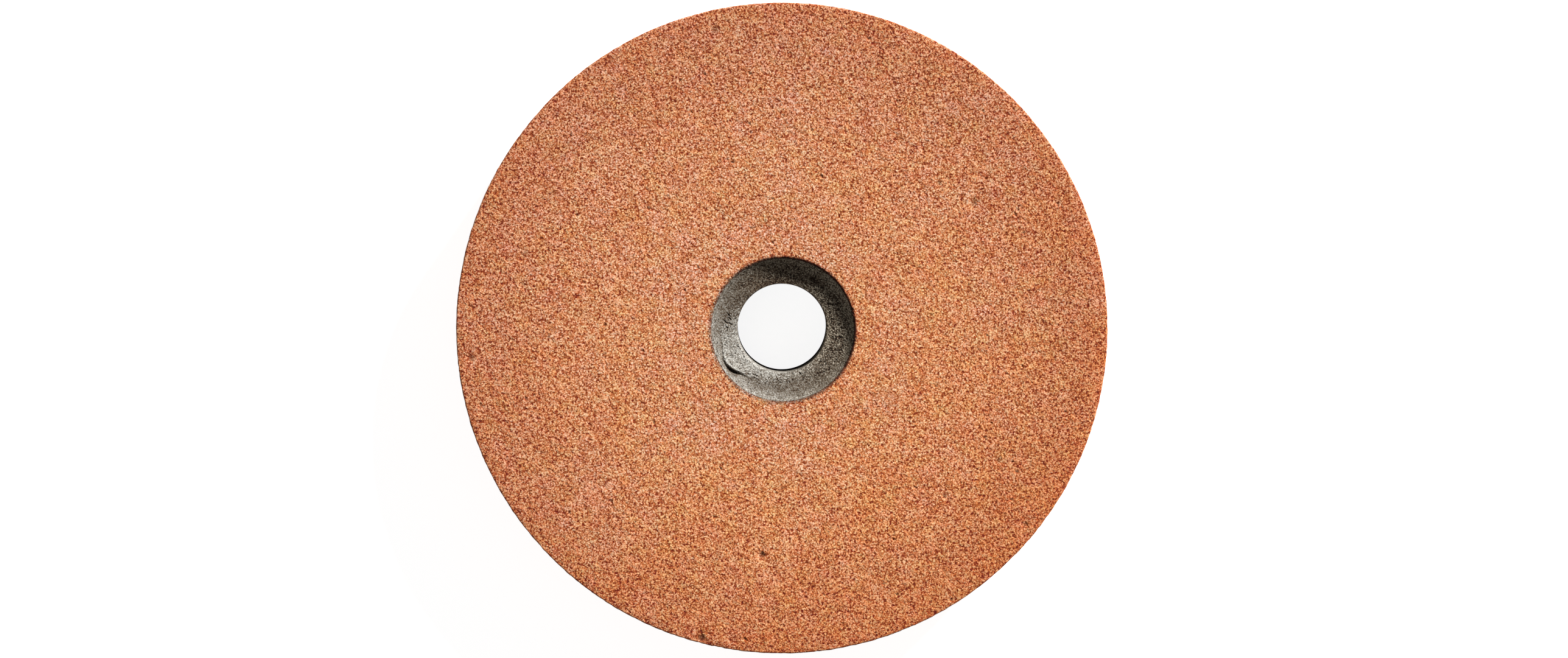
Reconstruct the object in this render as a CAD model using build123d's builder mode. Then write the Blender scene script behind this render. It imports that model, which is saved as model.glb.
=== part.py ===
from build123d import *
from math import cos, radians, sin, sqrt, tan
import os

# A straight bench grinding wheel, lying on its back face: a fired abrasive wheel, and the bush that
# was poured into its hole to bring it down to the spindle. The origin is the middle of the bore on
# the back face, and +Z runs along the bore to the front, the side where the bush is dished.
# Sizes are in millimetres and angles in degrees.

# Abrasive wheel
wheel_diameter = 150.0
wheel_width = 20.0
rim_chamfer = 0.3  # truing takes the sharp edge off both rims
seat_chamfer = 0.3  # at both mouths of the fired hole, which is the bush's seat
seat_offset_x = 0.18  # that hole is a little off the axis that the wheel was trued on
seat_offset_y = -0.24

# Bush
spindle_diameter = 20.0
spindle_clearance = 0.25  # all round the spindle
bush_wall = 6.25  # from the bore out to the seat
lip_drop = 0.4  # the bush ends this far under both faces, so that flanges clamp the wheel alone
back_chamfer = 0.5  # the back of the bore

# The wall of the dish is the curve that the pour left as it sank in the middle and clung to its seat.
wall_slope = 50.0  # at the lip, from the plane of the face
wall_bend = 5.6  # radius of the curve from there down to its lowest point

# The land is the rough ring that set last. It lies inside the foot of the wall and falls to the bore.
foot_rise = 0.2  # where the wall meets the land, over the wall's lowest point
land_slope = 14.0
mouth_chamfer = 0.25  # the front of the bore

# The hollow is a crescent in the wall, where the pour shrank away from the land as it set.
hollow_angle = 214.0  # its middle, round the bore from +X
hollow_inset = 1.4  # its middle, in from the seat
hollow_bend = 6.8  # radius of its curve, tighter than the wall, so that it fades out at both ends
hollow_depth = 0.9  # under the wall, at its middle
hollow_inner_lean = 7.0  # its two sides, from upright
hollow_outer_lean = 26.0

wheel_radius = wheel_diameter / 2
bore_radius = spindle_diameter / 2 + spindle_clearance
seat_radius = bore_radius + bush_wall
lip_z = wheel_width - lip_drop

# The wall's curve has its centre over its lowest point, and stops at the foot, where the land starts.
wall_low_radius = seat_radius - wall_bend * sin(radians(wall_slope))
wall_centre_z = lip_z + wall_bend * cos(radians(wall_slope))
foot_z = wall_centre_z - wall_bend + foot_rise
foot_radius = wall_low_radius + sqrt(wall_bend**2 - (wall_bend - foot_rise) ** 2)

# What follows the fired hole is turned about its axis, and the bore about the origin.
seat_centre = Vector(seat_offset_x, seat_offset_y, 0)
seat_axis = Axis(seat_centre, (0, 0, 1))
seat_section = Plane(origin=seat_centre, x_dir=(1, 0, 0), z_dir=(0, -1, 0))


def wall_height(radius):
    """Height of the dish's wall at this distance from the seat's axis."""
    return wall_centre_z - sqrt(wall_bend**2 - (radius - wall_low_radius) ** 2)


def land_height(radius):
    """Height of the land at this distance from the seat's axis."""
    return foot_z - (foot_radius - radius) * tan(radians(land_slope))


with BuildPart() as abrasive_wheel:
    with BuildSketch() as wheel_plan:
        Circle(wheel_radius)
        with Locations(seat_centre):
            Circle(seat_radius, mode=Mode.SUBTRACT)
    extrude(amount=wheel_width)
    circles = abrasive_wheel.edges().filter_by(GeomType.CIRCLE)
    rims = circles.group_by(SortBy.RADIUS)[-1]
    seat_mouths = circles.group_by(SortBy.RADIUS)[0]
    chamfer(rims, length=rim_chamfer)
    chamfer(seat_mouths, length=seat_chamfer)

abrasive_wheel.part.label = "abrasive_wheel"

with BuildPart() as arbor_bush:
    with BuildSketch(seat_section) as bush_section:
        with BuildLine() as bush_profile:
            wall = RadiusArc((foot_radius, foot_z), (seat_radius, lip_z), -wall_bend)
            land = Line((0, land_height(0)), wall @ 0)
            Polyline(wall @ 1, (seat_radius, lip_drop), (0, lip_drop), land @ 0)
        make_face()
    revolve(axis=seat_axis)

    # The hollow is a groove with a sharp floor, turned about an upright axis of its own.
    outward = Vector(1, 0, 0).rotate(Axis.Z, hollow_angle)
    hollow_reach = seat_radius - hollow_inset
    hollow_floor = wall_height(hollow_reach) - hollow_depth
    hollow_height = wheel_width - hollow_floor
    hollow_axis = Axis(seat_centre + outward * (hollow_reach - hollow_bend), (0, 0, 1))
    hollow_plane = Plane(
        origin=seat_centre + outward * hollow_reach,
        x_dir=outward,
        z_dir=outward.cross(Vector(0, 0, 1)),
    )
    with BuildSketch(hollow_plane) as hollow_section:
        with BuildLine() as hollow_profile:
            Polyline(
                (0, hollow_floor),
                (hollow_height * tan(radians(hollow_outer_lean)), wheel_width),
                (-hollow_height * tan(radians(hollow_inner_lean)), wheel_width),
                close=True,
            )
        make_face()
    revolve(axis=hollow_axis, mode=Mode.SUBTRACT)

    # The bore, with a chamfer that goes on widening up to the foot, to come clear of the land
    mouth_radius = bore_radius + mouth_chamfer
    sink_radius = mouth_radius + foot_z - land_height(mouth_radius)
    with Locations((0, 0, foot_z)):
        CounterSinkHole(bore_radius, sink_radius, counter_sink_angle=90)
    bore_edges = arbor_bush.edges().filter_by(GeomType.CIRCLE).group_by(Axis.Z)[0]
    chamfer(bore_edges.sort_by(SortBy.RADIUS)[0], length=back_chamfer)

arbor_bush.part.label = "arbor_bush"

os.makedirs("parts", exist_ok=True)
export_step(abrasive_wheel.part, "parts/abrasive_wheel.step")
export_step(arbor_bush.part, "parts/arbor_bush.step")
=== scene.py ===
from math import cos, pi, radians, sin, sqrt, tan

import bpy
import numpy as np
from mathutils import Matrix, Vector


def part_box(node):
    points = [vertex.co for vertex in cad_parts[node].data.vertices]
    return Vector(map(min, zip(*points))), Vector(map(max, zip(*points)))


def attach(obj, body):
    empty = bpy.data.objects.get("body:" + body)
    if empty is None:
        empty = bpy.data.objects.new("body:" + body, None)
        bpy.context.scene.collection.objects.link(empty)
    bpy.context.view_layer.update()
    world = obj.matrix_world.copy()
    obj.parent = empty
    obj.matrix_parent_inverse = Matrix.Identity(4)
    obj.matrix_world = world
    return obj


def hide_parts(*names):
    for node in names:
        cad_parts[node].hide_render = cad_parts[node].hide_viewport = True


# A straight bench grinding wheel, lying on its back face on a pale floor and seen along its bore.
# Two pieces show: the fired abrasive wheel, and the bush that was poured into its hole.
# Lengths in the settings are in millimetres and the meshes in metres, in the frame of the solids.

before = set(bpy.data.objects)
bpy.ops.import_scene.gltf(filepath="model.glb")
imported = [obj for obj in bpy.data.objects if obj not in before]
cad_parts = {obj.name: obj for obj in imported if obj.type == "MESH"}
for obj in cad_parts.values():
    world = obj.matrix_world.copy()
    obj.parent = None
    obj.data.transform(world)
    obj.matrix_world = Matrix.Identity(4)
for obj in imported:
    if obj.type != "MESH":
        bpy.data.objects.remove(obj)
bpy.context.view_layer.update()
mm = 0.001


def addNode(tree, kind, inputs=None, **settings):
    # Inputs go by name or number. Each is a value, a socket to link, or a node for its first output.
    # A colour Mix has its two colours at 6 and 7, and its result at output 2.
    node = tree.nodes.new(kind)
    for name, value in settings.items():
        setattr(node, name, value)
    for name, value in (inputs or {}).items():
        if isinstance(value, bpy.types.Node):
            value = value.outputs[0]
        if isinstance(value, bpy.types.NodeSocket):
            tree.links.new(value, node.inputs[name])
        else:
            node.inputs[name].default_value = value
    return node


timesColour = {"data_type": "RGBA", "blend_type": "MULTIPLY"}  # a colour Mix of one times the other


def linearColour(hexColour):
    # sRGB hex to the linear values that the shaders work in
    channels = [int(hexColour[i : i + 2], 16) / 255 for i in (1, 3, 5)]
    return (*[c / 12.92 if c <= 0.04045 else ((c + 0.055) / 1.055) ** 2.4 for c in channels], 1)


def setRamp(node, stops):
    # stops are (place, hex colour)
    ramp = node.color_ramp
    while len(ramp.elements) < len(stops):
        ramp.elements.new(1)
    for element, (place, hexColour) in zip(ramp.elements, stops):
        element.position = place
        element.color = linearColour(hexColour)


def newMaterial(name):
    # A material and its empty node tree
    material = bpy.data.materials.new(name)
    material.use_nodes = True
    material.node_tree.nodes.clear()
    return material, material.node_tree


def smoothStep(x):
    x = np.clip(x, 0, 1)
    return x * x * (3 - 2 * x)


# Camera: nearly square on, leaning a little to the top of the picture
camera = {
    "pictureWidth": 360.5,  # what the picture's width spans at the front face
    "distance": 1450,  # from the front face
    "lean": 2.55,  # degrees from the bore's axis, towards +Y
    "sideLean": -0.25,  # and towards +X
    "aim": (0.46, -0.04),
    "sensorWidth": 36,
    "clip": (10, 60000),  # the nearest and farthest that shows
}

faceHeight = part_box("abrasive_wheel")[1].z
lean, sideLean = radians(camera["lean"]), radians(camera["sideLean"])
cameraData = bpy.data.cameras.new("pictureCamera")
cameraData.sensor_width = camera["sensorWidth"]
cameraData.lens = camera["sensorWidth"] * camera["distance"] / camera["pictureWidth"]
cameraData.clip_start, cameraData.clip_end = [length * mm for length in camera["clip"]]
cameraObject = bpy.data.objects.new("pictureCamera", cameraData)
bpy.context.collection.objects.link(cameraObject)
aimPoint = Vector((camera["aim"][0] * mm, camera["aim"][1] * mm, faceHeight))
upLens = Vector((cos(lean) * sin(sideLean), sin(lean), cos(lean) * cos(sideLean)))
cameraObject.location = aimPoint + upLens * camera["distance"] * mm
cameraObject.rotation_euler = (-lean, sideLean, 0)
bpy.context.scene.camera = cameraObject
bpy.context.scene.view_settings.view_transform = "Standard"
print("camera set")


# Light: one soft lamp from the upper right, over a weak even light from all round
light = {
    "turn": 50,  # degrees from +X towards +Y
    "height": 26,  # degrees over the floor
    "spread": 10,  # degrees across, for a soft edge to each shadow
    "strength": 6.55,
    "fillTurn": 232,  # a weak lamp from the other side, so that the dark side keeps its form
    "fillHeight": 40,
    "fillStrength": 0.22,
    "fillSpread": 60,
    "allRound": 0.09,
    "floorGlow": 0.88,  # what the floor gives the camera beside its own lit colour
    "paper": "#eeeeec",  # the floor's own colour
}


def addLamp(name, turn, height, strength, spread):
    lampData = bpy.data.lights.new(name, "SUN")
    lampData.energy = strength
    lampData.angle = radians(spread)
    lamp = bpy.data.objects.new(name, lampData)
    bpy.context.collection.objects.link(lamp)
    turn, height = radians(turn), radians(height)
    towards = Vector((cos(turn) * cos(height), sin(turn) * cos(height), sin(height)))
    lamp.rotation_mode = "QUATERNION"
    lamp.rotation_quaternion = (-towards).to_track_quat("-Z", "Y")
    lamp.location = towards * 2  # metres; a sun lights the same from any distance


addLamp("softLamp", light["turn"], light["height"], light["strength"], light["spread"])
addLamp("fillLamp", light["fillTurn"], light["fillHeight"], light["fillStrength"], light["fillSpread"])

world = bpy.data.worlds.new("paleStudio")
bpy.context.scene.world = world
world.use_nodes = True
tree = world.node_tree
tree.nodes.clear()
rays = addNode(tree, "ShaderNodeLightPath")
strength = addNode(
    tree,
    "ShaderNodeMapRange",
    {"Value": rays.outputs["Is Camera Ray"], "To Min": light["allRound"], "To Max": 1},
)
background = addNode(
    tree, "ShaderNodeBackground", {"Color": linearColour("#ffffff"), "Strength": strength.outputs["Result"]}
)
addNode(tree, "ShaderNodeOutputWorld", {"Surface": background.outputs["Background"]})

# Matt white studio paper. It is diffuse only, and shows the camera some white of its own, so that
# the ground of the picture is white and the shadow on it stays faint.
paper, tree = newMaterial("mattWhitePaper")
rays = addNode(tree, "ShaderNodeLightPath")
glow = addNode(
    tree, "ShaderNodeMath", {0: rays.outputs["Is Camera Ray"], 1: light["floorGlow"]}, operation="MULTIPLY"
)
diffuse = addNode(tree, "ShaderNodeBsdfDiffuse", {"Color": linearColour(light["paper"])})
emission = addNode(tree, "ShaderNodeEmission", {"Color": linearColour("#ffffff"), "Strength": glow})
both = addNode(tree, "ShaderNodeAddShader", {0: diffuse, 1: emission})
addNode(tree, "ShaderNodeOutputMaterial", {"Surface": both})

floorSize, floorDrop = 10, 0.00004  # half its width, and its gap under the back face, in metres
floorMesh = bpy.data.meshes.new("paperFloor")
corners = [(x * floorSize, y * floorSize, -floorDrop) for x, y in ((-1, -1), (1, -1), (1, 1), (-1, 1))]
floorMesh.from_pydata(corners, [], [(0, 1, 2, 3)])
floorMesh.materials.append(paper)
floor = bpy.data.objects.new("paperFloor", floorMesh)
bpy.context.collection.objects.link(floor)
print("light and floor set")


# Meshes: both pieces are rings of points that follow a closed section, stitched to one another.
# The spacing along a ring and between rings is the same everywhere on a face, as on the real grain.
rowStep = 0.866  # from ring to ring, over the spacing along a ring, for even triangles
cornerFreedom = 0.4  # points on a corner of the section shift no more than this share


def layRings(section, seed, ringShift, rowShift):
    # Rows of the section: radius, height, spacing from here on, and how freely the points shift.
    # Returns the rings as (angles, radii, heights), all arrays.
    random = np.random.default_rng(seed)
    rings = []
    for row, nextRow in zip(section, section[1:] + section[:1]):
        radius0, height0, spacing, freedom = row
        outwards, upwards = nextRow[0] - radius0, nextRow[1] - height0
        length = sqrt(outwards**2 + upwards**2)
        steps = max(1, round(length / (rowStep * spacing)))
        for k in range(steps):
            t = k / steps
            radius, height = radius0 + outwards * t, height0 + upwards * t
            count = round(2 * pi * radius / spacing)
            free = freedom if k else min(freedom, cornerFreedom)
            turns = np.arange(count) + random.random() * 0.5 + 0.25  # each ring starts somewhere else
            turns = turns + random.uniform(-1, 1, count) * ringShift * free
            along = random.uniform(-1, 1, count) * rowShift * free * spacing * (k > 0)
            radii = radius + outwards / length * along
            heights = height + upwards / length * along
            rings.append((turns * 2 * pi / count, radii, heights))
    return rings


def stitchRings(rings):
    # Each step goes on along the ring whose next edge has its middle first, so that every edge
    # gets the point of the other ring that lies nearest to it
    starts = np.cumsum([0] + [len(ring[0]) for ring in rings])
    faces = []
    for k, ring in enumerate(rings):
        after = (k + 1) % len(rings)
        a, b = ring[0], rings[after][0]
        middles = [(x + np.append(x[1:], x[0] + 2 * pi)) / 2 for x in (a, b)]
        order = np.argsort(np.concatenate(middles), kind="stable")
        onFirst = order < len(a)
        i = np.cumsum(onFirst) - onFirst
        j = np.cumsum(~onFirst) - ~onFirst
        thirdTurn = np.where(onFirst, starts[k] + (i + 1) % len(a), starts[after] + (j + 1) % len(b))
        faces.append(np.stack([starts[k] + i % len(a), thirdTurn, starts[after] + j % len(b)], 1))
    return np.concatenate(faces)


def makePiece(name, points, faces, weights):
    # A closed mesh with its faces outwards, and one number per point under each name in weights
    corners = points[faces]
    if np.einsum("ij,ij->i", corners[:, 0], np.cross(corners[:, 1], corners[:, 2])).sum() < 0:
        faces = faces[:, ::-1]
    mesh = bpy.data.meshes.new(name)
    mesh.from_pydata((points * mm).tolist(), [], faces.tolist())
    for weightName, values in weights.items():
        mesh.attributes.new(weightName, "FLOAT", "POINT").data.foreach_set("value", values)
    mesh.update()
    piece = bpy.data.objects.new(name, mesh)
    bpy.context.collection.objects.link(piece)
    return piece


def dressPiece(piece, tree, settings):
    # Runs the tree on the piece with these named inputs and keeps the result as a plain mesh
    modifier = piece.modifiers.new(tree.name, "NODES")
    modifier.node_group = tree
    for item in tree.interface.items_tree:
        if item.name in settings:
            modifier[item.identifier] = settings[item.name]
    depsgraph = bpy.context.evaluated_depsgraph_get()
    mesh = bpy.data.meshes.new_from_object(
        piece.evaluated_get(depsgraph), preserve_all_data_layers=True, depsgraph=depsgraph
    )
    piece.modifiers.remove(modifier)
    old, piece.data = piece.data, mesh
    bpy.data.meshes.remove(old)
    mesh.name = piece.name
    print(piece.name, len(mesh.polygons), "faces")


def newTree(name, inputs):
    # A geometry tree with these inputs, (name, value) each, and its two ends
    tree = bpy.data.node_groups.new(name, "GeometryNodeTree")
    tree.interface.new_socket("Geometry", in_out="INPUT", socket_type="NodeSocketGeometry")
    tree.interface.new_socket("Geometry", in_out="OUTPUT", socket_type="NodeSocketGeometry")
    for inputName, value in inputs.items():
        kind = "NodeSocketInt" if isinstance(value, int) else "NodeSocketFloat"
        tree.interface.new_socket(inputName, in_out="INPUT", socket_type=kind).default_value = value
    return tree, addNode(tree, "NodeGroupInput").outputs


# The abrasive wheel: the section of the solid, in grains
wheel = {
    "radius": 75.0,
    "width": 20.0,
    "rimChamfer": 0.3,
    "seatRadius": 16.5,
    "seatCentre": (0.18, -0.24),
    "seatChamfer": 0.3,
    "coveredDepth": 1.0,  # under this the bush covers the seat
    "centringReach": 40.0,  # from here out the rings go round the wheel's own axis
    "edgeSpacing": 0.28,  # round the seat, this far down and out
    "edgeFoot": 0.38,
    "edgeEnd": 1.0,
    "edgeShift": 0.14,  # how far grains stand out or have broken out there
    "edgeDepth": 0.36,  # and how deep and how far out, fading over the last part
    "edgeReach": 0.9,
    "edgeFade": 0.5,
    "frontSpacing": 0.6,
    "rimSpacing": 0.76,
    "backSpacing": 0.96,
    "seatSpacing": 2.4,  # under the bush, where nothing shows
    "pointShift": (0.28, 0.2),  # how far points stray along a ring and across it, over their spacing
    "wornWidth": 2.6,  # how far in from the rim the face is worn down by use, and how much at the rim
    "wornDrop": 0.16,
    "rimShift": 0.12,  # how far grains have broken out of the rim
    "rimReach": 0.9,  # and how far in, fading over the last part
    "rimFade": 0.6,
    "breaks": 120,  # larger breaks all round, that both edges share
    # where grains were torn out of the face: x, y, reach and depth
    "torn": [
        (-4.6, -52.1, 0.65, 0.45), (-18.7, -71.4, 0.9, 0.4), (44.0, 28.8, 0.9, 0.3), (49.7, -30.5, 0.7, 0.3),
        (-71.6, -6.7, 0.8, 0.3), (37.4, -38.6, 0.7, 0.3), (-59.4, 16.8, 0.8, 0.25), (-15.7, 68.4, 0.9, 0.3),
        (56.0, -45.0, 0.6, 0.35), (-59.7, 10.0, 0.6, 0.3), (-24.0, -24.4, 0.6, 0.3), (35.9, 33.3, 0.6, 0.3),
    ],
    "seed": 3,
    "grit": {
        "Grit Size": 0.78 * mm,  # coarser than the real grains, because the mesh shows nothing finer
        "Grit Relief": 0.09 * mm,
        "Gap Share": 0.7,  # how much of the relief is the gaps between grains
        "Swell Size": 5.0 * mm,
        "Swell Depth": 0.02 * mm,
        "Pore Share": 0.0012,
        "Pore Depth": 0.26 * mm,
        "Seed": 11,
    },
}


def wheelSection():
    top, rim, seat = wheel["width"], wheel["rimChamfer"], wheel["seatChamfer"]
    outer, inner, covered = wheel["radius"], wheel["seatRadius"], wheel["coveredDepth"]
    edge, front, back = wheel["edgeSpacing"], wheel["frontSpacing"], wheel["backSpacing"]
    # up the seat, out over the front, down the rim and back in under the wheel
    return [
        (inner, top - covered, edge, 0),
        (inner, top - wheel["edgeFoot"], edge, 0),
        (inner, top - seat, edge, 0.5),
        (inner + seat, top, edge, 1),
        (inner + wheel["edgeEnd"], top, front, 1),
        (outer - rim, top, front, 1),
        (outer, top - rim, wheel["rimSpacing"], 1),
        (outer, rim, wheel["rimSpacing"], 1),
        (outer - rim, 0, back, 1),
        (inner + seat, 0, back, 0.5),
        (inner, seat, back, 0),
        (inner, covered, wheel["seatSpacing"], 0),
    ]


# Vitrified brown aluminium oxide: crushed grains that a fired clay bond holds, with open pores
# between them. The eye gets peach and cream grains in orange-red bond, dark pinholes and a dull,
# sandy surface with a few bright crystal faces.
abrasive = {
    "grainSize": 0.44,  # from grain to grain
    "grainBlend": 0.35,  # how softly they run together
    "crumbSize": 0.26,  # the broken faces of a grain
    "bendSize": 0.4,  # from one bend in their outlines to the next, and how far it goes
    "bend": 0.55,
    "dustSize": 0.15,
    "patchSize": 14.0,  # paler and darker patches
    "hueSize": 3.2,  # pink, ochre and greyish patches
    "hueSpread": (0.22, 0.22, 0.65),  # how much each colour shifts there
    "whiteByGrain": 0.3,  # how much the whitish clusters follow single grains
    "whiteOdds": (0.8, 0.9),  # where they start and are full, and how white they are
    "whiteMost": 0.55,
    "poreSize": 0.85,  # from one pinhole to the next, before this share is left out
    "poreShare": 0.55,
    "poreReach": (0.12, 0.3),  # its dark middle and where it ends, over that size
    "poreMost": 0.85,
    "domeTone": 0.9,
    "crumbTone": 0.68,
    "dustTone": 1.25,
    "patchTone": 0.03,
    "rimContrast": 0.3,  # how much more the grain stands out at the rim
    "domeRelief": 0.08,
    "crumbRelief": 0.08,
    "dustRelief": 0.03,
    "crystals": 0.2,  # the share of crumbs whose faces shine
    "roughness": (0.92, 0.45),  # of the rest, and of the brightest
    "sunkPaintedShade": 0.7,  # how dark the painted shade in the deepest pores of the mesh is
    "paleSide": (-0.08, 0.15, 0),  # the side that is paler, and how much at the rim
    "rimDarkReach": (24, 74),  # the wheel gets darker from here out
    "paintedShadeSide": 35,  # degrees from +X, the side of the seat whose edge lies in shade, where the grains get painted shade
    "paintedShadeByTurn": (0.55, 0.6),  # how strong it is a quarter turn away, and how much that changes
    "shadeAndSmearStart": 0.45,  # how far inside the seat the painted shade and the smear start, their width, and how ragged they are
    "shadeAndSmearWidth": 1.1,
    "shadeAndSmearRagged": 0.9,
}


def firedAbrasive():
    material, tree = newMaterial("vitrifiedAluminiumOxide")
    place = addNode(tree, "ShaderNodeTexCoord").outputs["Object"]
    shake = addNode(
        tree, "ShaderNodeTexNoise", {"Vector": place, "Scale": 1000 / abrasive["bendSize"], "Detail": 2.0}
    )
    shift = addNode(
        tree, "ShaderNodeVectorMath", {0: shake.outputs["Color"], 1: (0.5, 0.5, 0.5)}, operation="SUBTRACT"
    )
    bend = (abrasive["bend"] * mm,) * 3
    bent = addNode(tree, "ShaderNodeVectorMath", {0: shift, 1: bend, 2: place}, operation="MULTIPLY_ADD")
    grains = addNode(
        tree,
        "ShaderNodeTexVoronoi",
        {"Vector": bent, "Scale": 1000 / abrasive["grainSize"], "Smoothness": abrasive["grainBlend"]},
        feature="SMOOTH_F1",
    )
    crumbs = addNode(tree, "ShaderNodeTexVoronoi", {"Vector": bent, "Scale": 1000 / abrasive["crumbSize"]})
    dust = addNode(
        tree, "ShaderNodeTexNoise", {"Vector": place, "Scale": 1000 / abrasive["dustSize"], "Detail": 1.0}
    )
    patches = addNode(
        tree, "ShaderNodeTexNoise", {"Vector": place, "Scale": 1000 / abrasive["patchSize"], "Detail": 2.0}
    )
    crumbShade = addNode(tree, "ShaderNodeSeparateColor", {"Color": crumbs.outputs["Color"]})

    # tone, from the dark gaps between grains up to their cream tops, stronger towards the rim
    domeTone = abrasive["domeTone"]
    tone = addNode(
        tree, "ShaderNodeMath", {0: grains, 1: -domeTone, 2: 0.5 + 0.5 * domeTone}, operation="MULTIPLY_ADD"
    )
    for source, share in ((crumbShade, "crumbTone"), (dust, "dustTone"), (patches, "patchTone")):
        centred = addNode(tree, "ShaderNodeMath", {0: source, 1: 0.5}, operation="SUBTRACT")
        tone = addNode(
            tree, "ShaderNodeMath", {0: centred, 1: abrasive[share], 2: tone}, operation="MULTIPLY_ADD"
        )
    flat = addNode(tree, "ShaderNodeVectorMath", {0: place, 1: (1, 1, 0)}, operation="MULTIPLY")
    reach = addNode(tree, "ShaderNodeVectorMath", {0: flat}, operation="LENGTH")
    rimDarkFrom, rimDarkTo = [length * mm for length in abrasive["rimDarkReach"]]
    outward = addNode(
        tree,
        "ShaderNodeMapRange",
        {"Value": reach.outputs["Value"], "From Min": rimDarkFrom, "From Max": rimDarkTo},
    )
    contrast = addNode(
        tree, "ShaderNodeMath", {0: outward, 1: abrasive["rimContrast"], 2: 1.0}, operation="MULTIPLY_ADD"
    )
    centred = addNode(tree, "ShaderNodeMath", {0: tone, 1: 0.5}, operation="SUBTRACT")
    tone = addNode(tree, "ShaderNodeMath", {0: centred, 1: contrast, 2: 0.5}, operation="MULTIPLY_ADD")
    colours = addNode(tree, "ShaderNodeValToRGB", {0: tone})
    setRamp(
        colours,
        [(0.08, "#782003"), (0.28, "#bf632f"), (0.5, "#e0986c"), (0.72, "#f4ba9a"), (0.94, "#ffe5d8")],
    )

    # paler and ruddier patches, over a slow change from one side of the wheel to the other
    paleSide = [length / wheel["radius"] / mm for length in abrasive["paleSide"]]
    side = addNode(tree, "ShaderNodeVectorMath", {0: place, 1: paleSide}, operation="DOT_PRODUCT")
    pale = addNode(
        tree, "ShaderNodeMath", {0: patches, 1: 0.5, 2: side.outputs["Value"]}, operation="MULTIPLY_ADD"
    )
    tint = addNode(tree, "ShaderNodeValToRGB", {0: pale})
    setRamp(tint, [(0, "#fee7bb"), (0.25, "#fcefd6"), (0.5, "#fbf4e7")])
    hues = addNode(
        tree,
        "ShaderNodeTexNoise",
        {"Vector": place, "Scale": 1000 / abrasive["hueSize"], "Detail": 2.0, "Roughness": 0.5},
    )
    spread = abrasive["hueSpread"]
    least = [1 - amount / 2 for amount in spread]
    hueShift = addNode(
        tree,
        "ShaderNodeVectorMath",
        {0: hues.outputs["Color"], 1: spread, 2: least},
        operation="MULTIPLY_ADD",
    )
    tinted = addNode(tree, "ShaderNodeMix", {0: 1.0, 6: tint, 7: hueShift}, **timesColour)

    # here and there a cluster of whitish grains
    grainShade = addNode(tree, "ShaderNodeSeparateColor", {"Color": grains.outputs["Color"]})
    byGrain = abrasive["whiteByGrain"]
    odds = addNode(tree, "ShaderNodeMath", {0: grainShade, 1: byGrain, 2: hues}, operation="MULTIPLY_ADD")
    whiteFrom, whiteTo = abrasive["whiteOdds"]
    white = addNode(
        tree,
        "ShaderNodeMapRange",
        {"Value": odds, "From Min": whiteFrom, "From Max": whiteTo, "To Max": abrasive["whiteMost"]},
    )
    whiteTop = addNode(tree, "ShaderNodeMath", {0: white, 1: tone}, operation="MULTIPLY", use_clamp=True)
    grainColour = addNode(
        tree, "ShaderNodeMix", {0: whiteTop, 6: colours, 7: linearColour("#f7e6d6")}, data_type="RGBA"
    )
    patchy = addNode(
        tree, "ShaderNodeMix", {0: 1.0, 6: grainColour.outputs[2], 7: tinted.outputs[2]}, **timesColour
    )

    # the wheel is a little darker and redder towards its rim
    rimDarkening = addNode(tree, "ShaderNodeValToRGB", {0: outward})
    setRamp(
        rimDarkening, [(0, "#ffffff"), (0.27, "#fff9ed"), (0.55, "#fbefe4"), (0.83, "#f2e0d2"), (1, "#efd5c1")]
    )
    darkerOut = addNode(tree, "ShaderNodeMix", {0: 1.0, 6: patchy.outputs[2], 7: rimDarkening}, **timesColour)

    # dark pinholes, each in its own place between the grains: painted shade of open pores, with no hole in
    # the mesh under them
    pores = addNode(tree, "ShaderNodeTexVoronoi", {"Vector": bent, "Scale": 1000 / abrasive["poreSize"]})
    poreShade = addNode(tree, "ShaderNodeSeparateColor", {"Color": pores.outputs["Color"]})
    isOpen = addNode(
        tree,
        "ShaderNodeMapRange",
        {"Value": poreShade, "From Min": abrasive["poreShare"], "To Min": abrasive["poreMost"], "To Max": 0},
    )
    dark, clear = abrasive["poreReach"]
    nearPore = addNode(
        tree,
        "ShaderNodeMapRange",
        {"Value": pores, "From Min": dark, "From Max": clear, "To Min": 1, "To Max": 0},
    )
    hole = addNode(tree, "ShaderNodeMath", {0: isOpen, 1: nearPore}, operation="MULTIPLY")
    shaded = addNode(
        tree, "ShaderNodeMix", {0: hole, 6: darkerOut.outputs[2], 7: linearColour("#702f08")}, data_type="RGBA"
    )

    # painted shade darkens the grains round the seat on the side whose edge lies in shade, and a grey smear
    # is left on the other
    centre = [length * mm for length in wheel["seatCentre"]] + [0]
    fromSeat = addNode(tree, "ShaderNodeVectorMath", {0: flat, 1: centre}, operation="SUBTRACT")
    seatReach = addNode(tree, "ShaderNodeVectorMath", {0: fromSeat}, operation="LENGTH")
    ragged = addNode(
        tree,
        "ShaderNodeMath",
        {0: shake, 1: -abrasive["shadeAndSmearRagged"] * mm, 2: seatReach.outputs["Value"]},
        operation="MULTIPLY_ADD",
    )
    inner = (wheel["seatRadius"] - abrasive["shadeAndSmearStart"]) * mm
    outer = inner + abrasive["shadeAndSmearWidth"] * mm
    nearSeatEdge = addNode(tree, "ShaderNodeMapRange", {"Value": ragged, "From Min": inner, "From Max": outer})
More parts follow.
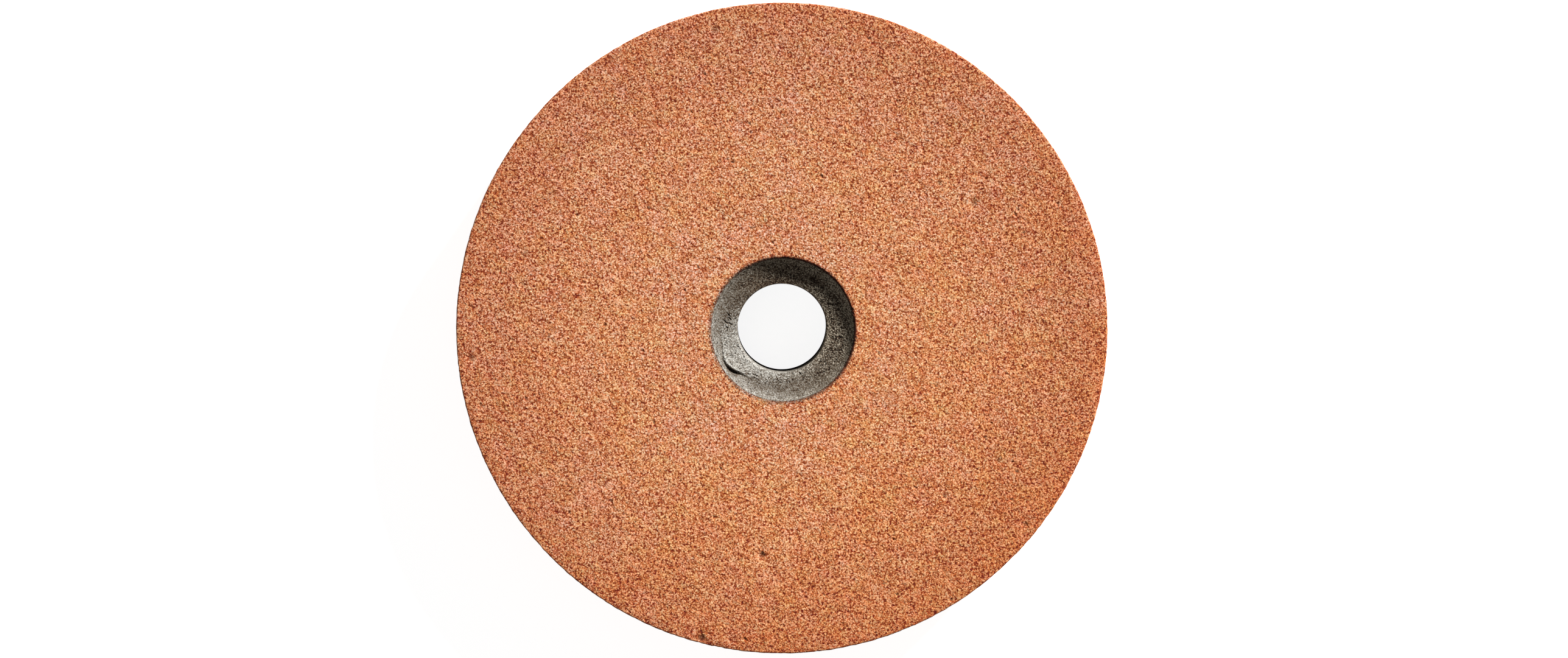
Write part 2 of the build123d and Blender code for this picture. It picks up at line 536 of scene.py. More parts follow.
    # painted shade of the seat's edge, darkest next to it
    paintedSeatShade = addNode(tree, "ShaderNodeValToRGB", {0: nearSeatEdge})
    setRamp(
        paintedSeatShade, [(0.12, "#573e2c"), (0.3, "#7a6052"), (0.45, "#c4b2aa"), (0.7, "#f0e8e8"), (1, "#ffffff")]
    )
    smear = addNode(tree, "ShaderNodeValToRGB", {0: nearSeatEdge})
    setRamp(smear, [(0.2, "#a2b4cc"), (0.45, "#dbe4f0"), (0.8, "#ffffff")])
    paintedShadeSide = addNode(tree, "ShaderNodeAttribute", attribute_name="paintedSeatShade").outputs["Fac"]
    mark = addNode(tree, "ShaderNodeMix", {0: paintedShadeSide, 6: smear, 7: paintedSeatShade}, data_type="RGBA")
    withSeatShade = addNode(
        tree, "ShaderNodeMix", {0: 1.0, 6: shaded.outputs[2], 7: mark.outputs[2]}, **timesColour
    )

    # painted shade in the open pores, where the mesh has sunk most
    sunk = addNode(tree, "ShaderNodeAttribute", attribute_name="sunk").outputs["Fac"]
    deep = addNode(
        tree, "ShaderNodeMapRange", {"Value": sunk, "From Min": 0.5, "To Max": abrasive["sunkPaintedShade"]}
    )
    colour = addNode(
        tree,
        "ShaderNodeMix",
        {0: deep, 6: withSeatShade.outputs[2], 7: linearColour("#5e280a")},
        data_type="RGBA",
    )

    # relief: domed grains with broken faces
    heights = addNode(
        tree, "ShaderNodeMath", {0: grains, 1: -abrasive["domeRelief"] * mm}, operation="MULTIPLY"
    )
    for source, share in ((crumbShade.outputs[1], "crumbRelief"), (dust, "dustRelief")):
        heights = addNode(
            tree,
            "ShaderNodeMath",
            {0: source, 1: abrasive[share] * mm, 2: heights},
            operation="MULTIPLY_ADD",
        )
    bump = addNode(tree, "ShaderNodeBump", {"Height": heights, "Distance": 1.0})

    # dull, but for the faces of a few crystals
    dull, bright = abrasive["roughness"]
    rough = addNode(
        tree,
        "ShaderNodeMapRange",
        {
            "Value": crumbShade.outputs[2],
            "From Min": 1 - abrasive["crystals"],
            "To Min": dull,
            "To Max": bright,
        },
    )
    shader = addNode(
        tree,
        "ShaderNodeBsdfPrincipled",
        {
            "Base Color": colour.outputs[2],
            "Roughness": rough,
            "IOR": 1.76,
            "Specular IOR Level": 0.2,
            "Normal": bump,
        },
    )
    addNode(tree, "ShaderNodeOutputMaterial", {"Surface": shader})
    return material


def pressedGrit(material):
    # Sinks the points of a truned face between its grains, never over it
    tree, given = newTree("pressedGrit", wheel["grit"])
    place = addNode(tree, "GeometryNodeInputPosition").outputs[0]
    perSize = addNode(tree, "ShaderNodeMath", {0: 1.0, 1: given["Grit Size"]}, operation="DIVIDE")
    cells = addNode(tree, "ShaderNodeTexVoronoi", {"Vector": place, "Scale": perSize})
    shade = addNode(tree, "ShaderNodeSeparateXYZ", {0: cells.outputs["Color"]})
    gaps = addNode(
        tree, "ShaderNodeMath", {0: cells, 1: given["Gap Share"], 2: shade}, operation="MULTIPLY_ADD"
    )
    relief = addNode(tree, "ShaderNodeMath", {0: gaps, 1: given["Grit Relief"]}, operation="MULTIPLY")

    perSwell = addNode(tree, "ShaderNodeMath", {0: 1.0, 1: given["Swell Size"]}, operation="DIVIDE")
    noise = addNode(tree, "ShaderNodeTexNoise", {"Vector": place, "Scale": perSwell, "Detail": 3.0})
    swell = addNode(
        tree, "ShaderNodeMath", {0: noise, 1: given["Swell Depth"], 2: relief}, operation="MULTIPLY_ADD"
    )

    chance = addNode(tree, "FunctionNodeRandomValue", {"Seed": given["Seed"]}, data_type="FLOAT")
    isPore = addNode(
        tree, "ShaderNodeMath", {0: chance.outputs[1], 1: given["Pore Share"]}, operation="LESS_THAN"
    )
    pored = addNode(
        tree, "ShaderNodeMath", {0: isPore, 1: given["Pore Depth"], 2: swell}, operation="MULTIPLY_ADD"
    )
    torn = addNode(tree, "GeometryNodeInputNamedAttribute", {"Name": "torn"}, data_type="FLOAT")
    depth = addNode(tree, "ShaderNodeMath", {0: torn, 1: mm, 2: pored}, operation="MULTIPLY_ADD")
    bite = addNode(tree, "GeometryNodeInputNamedAttribute", {"Name": "bite"}, data_type="FLOAT")
    sink = addNode(tree, "ShaderNodeMath", {0: depth, 1: bite}, operation="MULTIPLY")

    normal = addNode(tree, "GeometryNodeInputNormal").outputs[0]
    less = addNode(tree, "ShaderNodeMath", {0: sink, 1: -1.0}, operation="MULTIPLY")
    offset = addNode(tree, "ShaderNodeVectorMath", {0: normal, "Scale": less}, operation="SCALE")

    # how far each has sunk, over the depth of a pore in a deep gap of 1.4 reliefs
    most = addNode(
        tree,
        "ShaderNodeMath",
        {0: given["Grit Relief"], 1: 1.4, 2: given["Pore Depth"]},
        operation="MULTIPLY_ADD",
    )
    share = addNode(tree, "ShaderNodeMath", {0: sink, 1: most}, operation="DIVIDE")
    stored = addNode(
        tree,
        "GeometryNodeStoreNamedAttribute",
        {"Geometry": given["Geometry"], "Name": "sunk", "Value": share},
        data_type="FLOAT",
        domain="POINT",
    )
    moved = addNode(tree, "GeometryNodeSetPosition", {"Geometry": stored, "Offset": offset})
    flat = addNode(tree, "GeometryNodeSetShadeSmooth", {"Geometry": moved, "Shade Smooth": False})
    real = addNode(tree, "GeometryNodeRealizeInstances", {"Geometry": flat})
    dressed = addNode(tree, "GeometryNodeSetMaterial", {"Geometry": real, "Material": material})
    addNode(tree, "NodeGroupOutput", {0: dressed})
    return tree


def sideShare(turns):
    # 1 on the side of the seat whose edge lies in shade, where shade is painted, 0 on the other
    middle, change = abrasive["paintedShadeByTurn"]
    return smoothStep(middle + change * np.cos(turns - radians(abrasive["paintedShadeSide"])))


def makeWheel():
    rings = layRings(wheelSection(), wheel["seed"], *wheel["pointShift"])
    angles, radii, heights = [np.concatenate(part) for part in zip(*rings)]
    outer, inner, width = wheel["radius"], wheel["seatRadius"], wheel["width"]

    # both edges are broken, half by larger breaks and half grain by grain
    random = np.random.default_rng(wheel["seed"])
    breaks = random.uniform(-1, 1, wheel["breaks"])
    breakAngles = np.arange(wheel["breaks"]) * 2 * pi / wheel["breaks"]
    largeOnEdge = np.interp(angles, breakAngles, breaks, period=2 * pi)
    largeOnRim = np.interp(angles, breakAngles, breaks[::-1], period=2 * pi)
    edgeBroken = 0.6 * largeOnEdge + 0.6 * random.uniform(-1, 1, len(angles))
    rimBroken = np.clip(0.5 * random.uniform(-1, 1, len(angles)) + 0.5 * largeOnRim, 0, 1)
    onEdge = smoothStep((inner + wheel["edgeReach"] - radii) / wheel["edgeFade"])
    onEdge = onEdge * (heights > width - wheel["edgeDepth"])
    onRim = smoothStep((radii - outer + wheel["rimReach"]) / wheel["rimFade"])
    centring = wheel["centringReach"]
    onSeat = smoothStep((centring - radii) / (centring - inner - wheel["seatChamfer"]))
    radii = radii + wheel["edgeShift"] * onEdge * edgeBroken - wheel["rimShift"] * onRim * rimBroken

    # the high power keeps the wear to the two faces, downwards on the front and upwards on the back
    worn = np.clip((radii - outer + wheel["wornWidth"]) / wheel["wornWidth"], 0, 1) ** 2
    heights = heights - wheel["wornDrop"] * worn * (2 * heights / width - 1) ** 9
    x = radii * np.cos(angles) + onSeat * wheel["seatCentre"][0]
    y = radii * np.sin(angles) + onSeat * wheel["seatCentre"][1]

    torn = np.zeros(len(x))
    for tornX, tornY, tornReach, tornDepth in wheel["torn"]:
        away = np.hypot(x - tornX, y - tornY) / tornReach
        torn = torn + (heights > width / 2) * tornDepth * np.exp(-(away**2))
    weights = {
        "bite": smoothStep((radii - inner) / wheel["seatChamfer"]),  # none where the bush hides it
        # where the painted shade round the seat is strong
        "paintedSeatShade": sideShare(angles),
        "torn": torn,
    }
    return makePiece("abrasiveWheel", np.stack([x, y, heights], 1), stitchRings(rings), weights)


abrasiveWheel = makeWheel()
dressPiece(abrasiveWheel, pressedGrit(firedAbrasive()), wheel["grit"])
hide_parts("abrasive_wheel")
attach(abrasiveWheel, "root")
print("abrasive wheel made")


# The bush: a dished front that the pour left as it sank, round a rough land that set last
bush = {
    "boreRadius": 10.25,
    "seatRadius": wheel["seatRadius"],
    "lipHeight": 19.6,
    "lipDrop": 0.4,
    "wallSlope": 50.0,
    "wallBend": 5.6,
    "footRise": 0.2,
    "landSlope": 14.0,
    "mouthHeight": 16.753,  # the front end of the bore's wall
    "mouthBand": 0.5,  # the finer rings under it
    "backChamfer": 0.5,
    "litHeight": 9.0,  # about this height the bore's wall goes black with painted shade, over this much of it
    "litFade": 2,
    "crustFade": (0.4, 0.25),  # the crust fades out this near to the lip and to the mouth
    "boreCrust": 0.5,  # its strength on the lit part of the bore's wall
    "boreSpecks": (0.8, 0.6),  # that of the specks off the dish, and how much more there
    "seamWidth": 0.13,  # the gap that opened on one side of the seat as the pour shrank
    "seamEdge": 0.12,
    "seamDepth": 0.12,
    # painted shade in the gap at the seat
    "seamPaintedShade": 0.3,
    "dishSpacing": 0.13,
    "boreSpacing": 0.42,
    "backSpacing": 0.34,
    "seatSpacing": 2.0,
    "pointShift": (0.2, 0.1),
    "seed": 8,
    # how far the rough land reaches from the seat's axis, by the angle from +X
    "landReach": [
        (0, 15.6), (12, 15.5), (30, 14.9), (42, 13.9), (52, 12.6), (65, 11.6), (90, 11.0), (135, 10.7),
        (165, 12.9), (180, 14.3), (196, 14.35), (202, 14.75), (208, 15.15), (212, 15.2), (215, 15.0),
        (220, 14.6), (227, 13.95), (231, 13.8), (235, 13.6), (242, 13.2), (250, 13.2), (262, 12.6),
        (280, 12.3), (300, 12.9), (320, 14.2), (338, 14.8), (350, 15.5),
    ],
    "landEdge": 0.35,  # how far its roughness takes to fade out
    # how high its edge stands over the wall, and how far that takes to rise
    "landRise": [
        (0, 0.08), (60, 0.03), (135, 0.0), (170, 0.05), (190, 0.06), (205, 0.16), (220, 0.36), (228, 0.26),
        (236, 0.08), (246, 0.05), (270, 0.06), (330, 0.08),
    ],
    "riseEdge": 0.22,
    "riseFall": (0.3, 2.2, 0.75),  # it falls again from here inwards, over how far and by what share
    # the crevice between the land's lobe and the wall, sharp towards the land and soft towards the wall
    "creviceReach": [
        (180, 14.5), (196, 14.5), (202, 14.95), (208, 15.4), (212, 15.45), (215, 15.25), (220, 14.85),
        (227, 14.2), (231, 14.0), (235, 13.8), (246, 13.2),
    ],
    "creviceDepth": [
        (190, 0.0), (196, 0.06), (203, 0.2), (210, 0.4), (214, 0.7), (217, 1.1), (222, 1.1), (225, 0.6),
        (228, 0.2), (232, 0.06), (240, 0.0),
    ],
    "creviceInner": 0.14,
    "creviceOuter": [
        (186, 0.25), (203, 0.3), (211, 0.35), (215, 0.6), (219, 0.95), (226, 1.1), (236, 1.2), (250, 1.2),
    ],
    # the deeper side of the dish, where the land is narrow: its angle, half its spread, reach, half
    # its width and its depth
    "deepSide": (92, 40, 12.5, 1.4, 0.5),
    "deepInner": 2.4,  # how many times wider it is towards the bore
    # small hollows and nicks: angle, reach, half length, half width, turn from +X, depth
    "nicks": [
        (57.6, 13.65, 1.2, 0.7, 148, 0.4), (27.7, 12.4, 0.75, 0.14, -18, 0.35),
        (35.5, 10.9, 0.5, 0.16, -20, 0.3), (11.5, 11.8, 0.6, 0.13, -10, 0.3),
        (24.0, 14.1, 0.5, 0.4, 20, 0.15), (9.0, 14.6, 0.5, 0.16, 80, 0.15),
        (291.5, 10.95, 0.3, 0.16, -50, 0.4), (352.0, 13.2, 0.5, 0.3, 40, 0.15),
        (165.0, 12.9, 0.5, 0.15, -50, 0.32), (168.5, 12.4, 0.45, 0.15, -45, 0.32),
        (172.5, 13.3, 0.55, 0.15, -40, 0.34), (174.0, 12.2, 0.45, 0.15, -35, 0.32),
        (178.0, 12.9, 0.4, 0.15, -40, 0.32), (233.0, 12.9, 0.6, 0.12, 150, 0.14),
        (238.0, 12.4, 0.7, 0.12, 155, 0.14), (243.0, 12.9, 0.5, 0.12, 150, 0.1),
    ],
    # how pale the surface is towards the lip, by its reach
    "paleByReach": [(14.0, 0.0), (15.0, 0.08), (16.5, 0.2)],
    # at the worn mouth of the bore, by the angle from +X: wear where it is paler, and painted shade where it
    # is darker, at 90 and 120 degrees
    "paleMouthAndShade": [
        (0, 0.2), (30, 0.08), (60, 0.04), (90, -0.2), (120, -0.12), (150, 0.04), (180, 0.08), (210, 0.14),
        (240, 0.17), (270, 0.24), (300, 0.19), (330, 0.2),
    ],
    # and everywhere: the darker rows, from 90 to 150 degrees, are painted shade
    "paleByTurn": [
        (0, 0.04), (30, 0.07), (60, 0.02), (90, -0.06), (120, -0.08), (150, -0.05), (180, 0.01),
        (215, 0.03), (240, 0.01), (270, 0.0), (310, -0.01), (335, 0.02),
    ],
    "paleLobe": (212, 50, 0.22),  # the land's paler side: its angle, half its spread, how much paler
    "paleMouthReach": 12,  # where the mouth's own paleness ends, from the bore's axis
    "paleEdge": 0.25,  # how much paler the land is along the crevice, and how near to it
    "paleEdgeReach": 0.25,
    "paleEdgeDepth": 0.6,  # the depth of the crevice that brings it in full
    # painted shade in the crevice
    "crevicePaintedShade": 0.3,
    # painted shade in the nicks and hollows
    "nickPaintedShade": 0.25,
    # how strong the specks are on the wall, how much more on the land, and by the angle from +X
    "specksOnWall": 0.75,
    "specksOnLand": 0.3,
    "specksEven": (10, 2),  # the angle counts from here out, and in full this much further out
    "specksByTurn": [
        (0, 1.7), (45, 1.9), (90, 2.0), (130, 1.2), (180, 0.95), (215, 0.85), (250, 0.95), (280, 1.0),
        (315, 1.2),
    ],
    "grain": {
        "Crust Size": 0.4 * mm,
        "Crust Relief": 0.2 * mm,
        "Pit Share": 0.12,
        "Pit Depth": 0.2 * mm,
        "Ripple Size": 1.6 * mm,
        "Ripple Relief": 0.05 * mm,
        "Seed": 5,
    },
}


def roundTable(table, angle):
    # a value by angle in degrees, going on past 360
    return np.interp(angle, [row[0] for row in table], [row[1] for row in table], period=360)


def awayFrom(angle, middle, spread):
    # how far an angle is from a middle, either way round, over the spread
    return np.abs((angle - middle + 180) % 360 - 180) / spread


def dishSection(fromSeat):
    # height of the curved wall, and inside its foot of the land that falls to the bore
    slope = radians(bush["wallSlope"])
    lowRadius = bush["seatRadius"] - bush["wallBend"] * sin(slope)
    bendHeight = bush["lipHeight"] + bush["wallBend"] * cos(slope)
    footHeight = bendHeight - bush["wallBend"] + bush["footRise"]
    footRadius = lowRadius + sqrt(bush["wallBend"] ** 2 - (bush["wallBend"] - bush["footRise"]) ** 2)
    outside = np.clip(fromSeat - lowRadius, 0, bush["seatRadius"] - lowRadius)
    wall = bendHeight - np.sqrt(bush["wallBend"] ** 2 - outside**2)
    land = footHeight - (footRadius - fromSeat) * tan(radians(bush["landSlope"]))
    return np.where(fromSeat > footRadius, wall, land)


def shapeDish(x, y):
    # The dish at these points: its height, how much of it is rough land, how pale it is and how
    # strong its specks are
    seatX, seatY = x - wheel["seatCentre"][0], y - wheel["seatCentre"][1]
    fromSeat, fromBore = np.hypot(seatX, seatY), np.hypot(x, y)
    angle = np.degrees(np.arctan2(y, x)) % 360

    # the land, which stands a little over the wall along its edge
    inside = roundTable(bush["landReach"], angle) - fromSeat
    rough = smoothStep(inside / bush["landEdge"] + 0.5)
    fallStart, fallWidth, fallShare = bush["riseFall"]
    fall = 1 - fallShare * smoothStep((inside - fallStart) / fallWidth)
    rise = roundTable(bush["landRise"], angle) * smoothStep(inside / bush["riseEdge"]) * fall
    height = dishSection(fromSeat) + rise

    # the crevice between them
    creviceDepth = np.interp(angle, *zip(*bush["creviceDepth"]), left=0, right=0)
    across = fromSeat - np.interp(angle, *zip(*bush["creviceReach"]))
    outerWidth = np.interp(angle, *zip(*bush["creviceOuter"]))
    across = across / np.where(across < 0, bush["creviceInner"], outerWidth)
    crevice = creviceDepth * np.exp(-(across**2))
    height = height - crevice

    # paler towards the lip, at the mouth, on the lobe and along the crevice, and painted shade in the
    # crevice
    pale = np.interp(fromSeat, *zip(*bush["paleByReach"])) + roundTable(bush["paleByTurn"], angle)
    pale = pale + roundTable(bush["paleMouthAndShade"], angle) * smoothStep(bush["paleMouthReach"] - fromBore)
    middle, spread, paler = bush["paleLobe"]
    pale = pale + paler * smoothStep(1.3 - awayFrom(angle, middle, spread)) * rough
    edgeReach = bush["paleEdgeReach"]
    onEdge = creviceDepth / bush["paleEdgeDepth"] * np.exp(-(((inside - edgeReach) / edgeReach) ** 2))
    pale = pale + bush["paleEdge"] * onEdge - bush["crevicePaintedShade"] * crevice

    middle, spread, deepReach, halfWidth, depth = bush["deepSide"]
    halfWidth = np.where(fromSeat < deepReach, bush["deepInner"] * halfWidth, halfWidth)
    across = (fromSeat - deepReach) / halfWidth
    height = height - depth * smoothStep(1.2 - awayFrom(angle, middle, spread)) * np.exp(-(across**2))

    for nickAngle, nickReach, halfLength, halfWidth, nickTurn, depth in bush["nicks"]:
        nickX = seatX - nickReach * cos(radians(nickAngle))
        nickY = seatY - nickReach * sin(radians(nickAngle))
        turn = radians(nickTurn)
        alongNick = (nickX * cos(turn) + nickY * sin(turn)) / halfLength
        acrossNick = (nickY * cos(turn) - nickX * sin(turn)) / halfWidth
        hollow = np.exp(-((alongNick**2 + acrossNick**2) ** 2))
        height = height - depth * hollow
        # painted shade in the hollow
        pale = pale - bush["nickPaintedShade"] * hollow

    # the gap at the seat, with painted shade in it
    inSeam = smoothStep((fromSeat - bush["seatRadius"] + bush["seamWidth"]) / bush["seamEdge"] + 0.5)
    inSeam = inSeam * sideShare(np.radians(angle))
    height = height - bush["seamDepth"] * inSeam
    pale = pale - bush["seamPaintedShade"] * inSeam

    even, change = bush["specksEven"]
    specks = bush["specksOnWall"] + bush["specksOnLand"] * rough
    specks = specks * roundTable(bush["specksByTurn"], angle) ** smoothStep((fromBore - even) / change)
    # the mouth is chamfered at 45 degrees
    height = np.minimum(height, bush["mouthHeight"] + fromBore - bush["boreRadius"])
    return height, rough, pale, specks


def bushSection():
    top, drop, bore, seat = bush["lipHeight"], bush["lipDrop"], bush["boreRadius"], bush["seatRadius"]
    chamfer = bush["backChamfer"]
    # out over the dish, down the seat, back in under the bush and up the bore
    return [
        (bore, bush["mouthHeight"], bush["dishSpacing"], 1),
        (seat, top - bush["seamDepth"], bush["seatSpacing"], 0),
        (seat, drop, bush["backSpacing"], 1),
        (bore + chamfer, drop, bush["backSpacing"], 1),
        (bore, drop + chamfer, bush["boreSpacing"], 1),
        (bore, bush["mouthHeight"] - bush["mouthBand"], bush["boreSpacing"] / 2, 1),
    ]


# Mineral-filled casting compound, poured and left to set: a dull grey-brown stone-like mass. Its wall
# is smooth with fine specks, and its land is crusted, with pale flecks and dark pits.
compound = {
    "fleckSize": 0.34,  # sand grains and the pits between them
    "speckSize": 0.22,
    "dustSize": 0.15,
    "cloudSize": 1.5,
    "fleckTone": 0.6,
    "speckTone": 0.45,
    "dustTone": 0.7,
    "cloudTone": 0.42,
    "pinholes": 0.1,  # the share of the specks that are holes, and how dark their painted shade is
    "pinholePaintedShade": 0.85,
    "roughness": (0.55, 0.85),  # of the smoothest and the dullest specks
    "fleckRelief": 0.09,
    "speckRelief": 0.06,
}


def castCompound():
    material, tree = newMaterial("pouredMineralCompound")
    place = addNode(tree, "ShaderNodeTexCoord").outputs["Object"]
    flecks = addNode(tree, "ShaderNodeTexVoronoi", {"Vector": place, "Scale": 1000 / compound["fleckSize"]})
    specks = addNode(tree, "ShaderNodeTexVoronoi", {"Vector": place, "Scale": 1000 / compound["speckSize"]})
    dust = addNode(
        tree, "ShaderNodeTexNoise", {"Vector": place, "Scale": 1000 / compound["dustSize"], "Detail": 1.0}
    )
    cloud = addNode(
        tree, "ShaderNodeTexNoise", {"Vector": place, "Scale": 1000 / compound["cloudSize"], "Detail": 4.0}
    )
    speckShade = addNode(tree, "ShaderNodeSeparateColor", {"Color": specks.outputs["Color"]})
    strength, pale, paintedWarmShade, pit, bore = [
        addNode(tree, "ShaderNodeAttribute", attribute_name=name).outputs["Fac"]
        for name in ("specks", "pale", "paintedWarmShade", "pit", "bore")
    ]

    # tone, from the pits between the grains up to pale sand, about a middle of 0.5
    tone = addNode(
        tree,
        "ShaderNodeMath",
        {0: flecks, 1: -compound["fleckTone"], 2: 0.5 * compound["fleckTone"]},
        operation="MULTIPLY_ADD",
    )
    for source, share in ((speckShade, "speckTone"), (dust, "dustTone")):
        centred = addNode(tree, "ShaderNodeMath", {0: source, 1: 0.5}, operation="SUBTRACT")
        tone = addNode(
            tree, "ShaderNodeMath", {0: centred, 1: compound[share], 2: tone}, operation="MULTIPLY_ADD"
        )
    tone = addNode(tree, "ShaderNodeMath", {0: tone, 1: strength, 2: pale}, operation="MULTIPLY_ADD")
    tone = addNode(
        tree, "ShaderNodeMath", {0: cloud, 1: compound["cloudTone"], 2: tone}, operation="MULTIPLY_ADD"
    )
    tone = addNode(tree, "ShaderNodeMath", {0: tone, 1: 0.5 - 0.5 * compound["cloudTone"]}, operation="ADD")
    colours = addNode(tree, "ShaderNodeValToRGB", {0: tone})
    sandTones = [
        (0.05, "#1b0d05"), (0.2, "#372516"), (0.35, "#544637"), (0.5, "#6c6256"),
        (0.65, "#817a70"), (0.8, "#9c978e"), (0.95, "#bdb9b0"),
    ]
    setRamp(colours, sandTones)

    # painted warm shade: the side of the dish whose walls lie in shade is tinted brown
    warmShaded = addNode(tree, "ShaderNodeMix", {0: paintedWarmShade, 6: colours, 7: linearColour("#fff3e2")}, **timesColour)

    # painted shade: dark pinholes all over, and in the pits that the mesh has in the land
    share, dark = compound["pinholes"], compound["pinholePaintedShade"]
    holes = addNode(
        tree,
        "ShaderNodeMapRange",
        {"Value": speckShade.outputs[2], "From Min": share, "From Max": share / 2, "To Max": dark},
    )
    sunken = addNode(tree, "ShaderNodeMath", {0: pit, 1: holes}, operation="MAXIMUM")
    pitted = addNode(
        tree,
        "ShaderNodeMix",
        {0: sunken, 6: warmShaded.outputs[2], 7: linearColour("#1d130b")},
        data_type="RGBA",
    )
    # the bore's wall, painted black with shade further down
    colour = addNode(
        tree, "ShaderNodeMix", {0: bore, 6: pitted.outputs[2], 7: linearColour("#15120f")}, data_type="RGBA"
    )

    # relief, as strong as the specks, and a dull surface
    heights = addNode(
        tree, "ShaderNodeMath", {0: flecks, 1: -compound["fleckRelief"] * mm}, operation="MULTIPLY"
    )
    heights = addNode(
        tree,
        "ShaderNodeMath",
        {0: speckShade.outputs[1], 1: compound["speckRelief"] * mm, 2: heights},
        operation="MULTIPLY_ADD",
    )
    raised = addNode(tree, "ShaderNodeMath", {0: heights, 1: strength}, operation="MULTIPLY")
    bump = addNode(tree, "ShaderNodeBump", {"Height": raised, "Distance": 1.0})
    least, most = compound["roughness"]
    rough = addNode(
        tree, "ShaderNodeMapRange", {"Value": speckShade.outputs[1], "To Min": least, "To Max": most}
    )
    shader = addNode(
        tree,
        "ShaderNodeBsdfPrincipled",
        {
            "Base Color": colour.outputs[2],
            "Roughness": rough,
            "IOR": 1.5,
            "Specular IOR Level": 0.25,
            "Normal": bump,
        },
    )
    addNode(tree, "ShaderNodeOutputMaterial", {"Surface": shader})
    return material


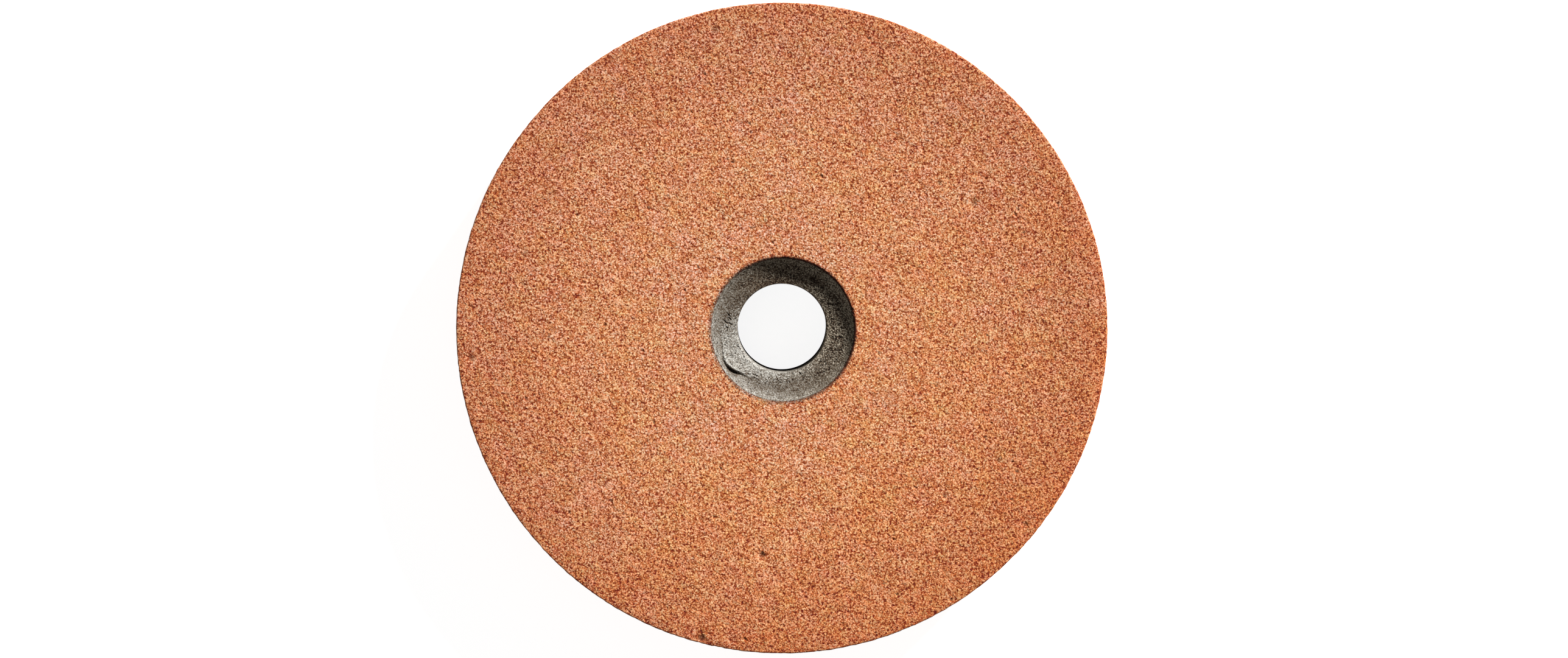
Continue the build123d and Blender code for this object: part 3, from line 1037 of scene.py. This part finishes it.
def pouredCrust(material):
    # Roughens the land and ripples the wall of the dish
    tree, given = newTree("pouredCrust", bush["grain"])
    place = addNode(tree, "GeometryNodeInputPosition").outputs[0]
    perCrust = addNode(tree, "ShaderNodeMath", {0: 1.0, 1: given["Crust Size"]}, operation="DIVIDE")
    crustNoise = addNode(tree, "ShaderNodeTexNoise", {"Vector": place, "Scale": perCrust, "Detail": 2.0})
    centred = addNode(tree, "ShaderNodeMath", {0: crustNoise, 1: 0.5}, operation="SUBTRACT")
    crust = addNode(tree, "ShaderNodeMath", {0: centred, 1: given["Crust Relief"]}, operation="MULTIPLY")
    cells = addNode(tree, "ShaderNodeTexVoronoi", {"Vector": place, "Scale": perCrust})
    shade = addNode(tree, "ShaderNodeSeparateXYZ", {0: cells.outputs["Color"]})
    isPit = addNode(tree, "ShaderNodeMath", {0: shade, 1: given["Pit Share"]}, operation="LESS_THAN")
    nearMiddle = addNode(
        tree,
        "ShaderNodeMapRange",
        {"Value": cells, "From Min": 0.15, "From Max": 0.5, "To Min": 1, "To Max": 0},
    )
    pit = addNode(tree, "ShaderNodeMath", {0: isPit, 1: nearMiddle}, operation="MULTIPLY")
    land = addNode(tree, "GeometryNodeInputNamedAttribute", {"Name": "land"}, data_type="FLOAT")
    pitOnLand = addNode(tree, "ShaderNodeMath", {0: pit, 1: land}, operation="MULTIPLY")
    pitDepth = addNode(tree, "ShaderNodeMath", {0: pit, 1: given["Pit Depth"]}, operation="MULTIPLY")
    raised = addNode(tree, "ShaderNodeMath", {0: crust, 1: pitDepth}, operation="SUBTRACT")
    onLand = addNode(tree, "ShaderNodeMath", {0: raised, 1: land}, operation="MULTIPLY")

    perRipple = addNode(tree, "ShaderNodeMath", {0: 1.0, 1: given["Ripple Size"]}, operation="DIVIDE")
    ripples = addNode(tree, "ShaderNodeTexNoise", {"Vector": place, "Scale": perRipple, "Detail": 2.0})
    rippleCentred = addNode(tree, "ShaderNodeMath", {0: ripples, 1: 0.5}, operation="SUBTRACT")
    dish = addNode(tree, "GeometryNodeInputNamedAttribute", {"Name": "dish"}, data_type="FLOAT")
    ripple = addNode(
        tree, "ShaderNodeMath", {0: rippleCentred, 1: given["Ripple Relief"]}, operation="MULTIPLY"
    )
    rippleOnDish = addNode(
        tree, "ShaderNodeMath", {0: ripple, 1: dish, 2: onLand}, operation="MULTIPLY_ADD"
    )
    lift = addNode(tree, "ShaderNodeCombineXYZ", {2: rippleOnDish})
    stored = addNode(
        tree,
        "GeometryNodeStoreNamedAttribute",
        {"Geometry": given["Geometry"], "Name": "pit", "Value": pitOnLand},
        data_type="FLOAT",
        domain="POINT",
    )
    moved = addNode(tree, "GeometryNodeSetPosition", {"Geometry": stored, "Offset": lift})
    smooth = addNode(tree, "GeometryNodeSetShadeSmooth", {"Geometry": moved, "Shade Smooth": True})
    real = addNode(tree, "GeometryNodeRealizeInstances", {"Geometry": smooth})
    dressed = addNode(tree, "GeometryNodeSetMaterial", {"Geometry": real, "Material": material})
    addNode(tree, "NodeGroupOutput", {0: dressed})
    return tree


def makeBush():
    rings = layRings(bushSection(), bush["seed"], *bush["pointShift"])
    angles, radii, heights = [np.concatenate(part) for part in zip(*rings)]
    bore, seat, mouth = bush["boreRadius"], bush["seatRadius"], bush["mouthHeight"]
    touch = 0.001  # nearer than this a point is on a surface

    # round the wheel's axis at the bore, and round the seat's at the seat
    onSeat = np.clip((radii - bore) / (seat - bore), 0, 1)
    x = radii * np.cos(angles) + onSeat * wheel["seatCentre"][0]
    y = radii * np.sin(angles) + onSeat * wheel["seatCentre"][1]
    onDish = (heights > mouth + touch) & (radii < seat - touch)
    dishHeight, rough, pale, specks = shapeDish(x, y)
    heights = np.where(onDish, dishHeight, heights)

    # the crust fades out at the lip and at the mouth, and painted shade turns the bore's wall black on the
    # way down
    lipFade, mouthFade = bush["crustFade"]
    dishShare = onDish * smoothStep((seat - radii) / lipFade) * smoothStep((radii - bore) / mouthFade)
    onBore = ~onDish & (radii < bore + touch)
    lit, fade = bush["litHeight"], bush["litFade"]
    upWall = onBore * smoothStep((heights - lit) / fade)
    offDish, moreUpWall = bush["boreSpecks"]
    weights = {
        "land": rough * np.maximum(dishShare, bush["boreCrust"] * upWall),
        "dish": dishShare,
        "pale": pale * np.maximum(onDish, upWall),
        "specks": np.where(onDish, specks, offDish + moreUpWall * upWall),
        # painted shade, black, on the bore's wall under its lit part
        "bore": onBore * smoothStep((lit - heights) / fade + 0.5),
        # painted warm shade, on the side whose walls lie in shade
        "paintedWarmShade": sideShare(np.arctan2(y, x)),
    }
    return makePiece("arborBush", np.stack([x, y, heights], 1), stitchRings(rings), weights)


arborBush = makeBush()
dressPiece(arborBush, pouredCrust(castCompound()), bush["grain"])
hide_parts("arbor_bush")
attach(arborBush, "root")
print("bush made")
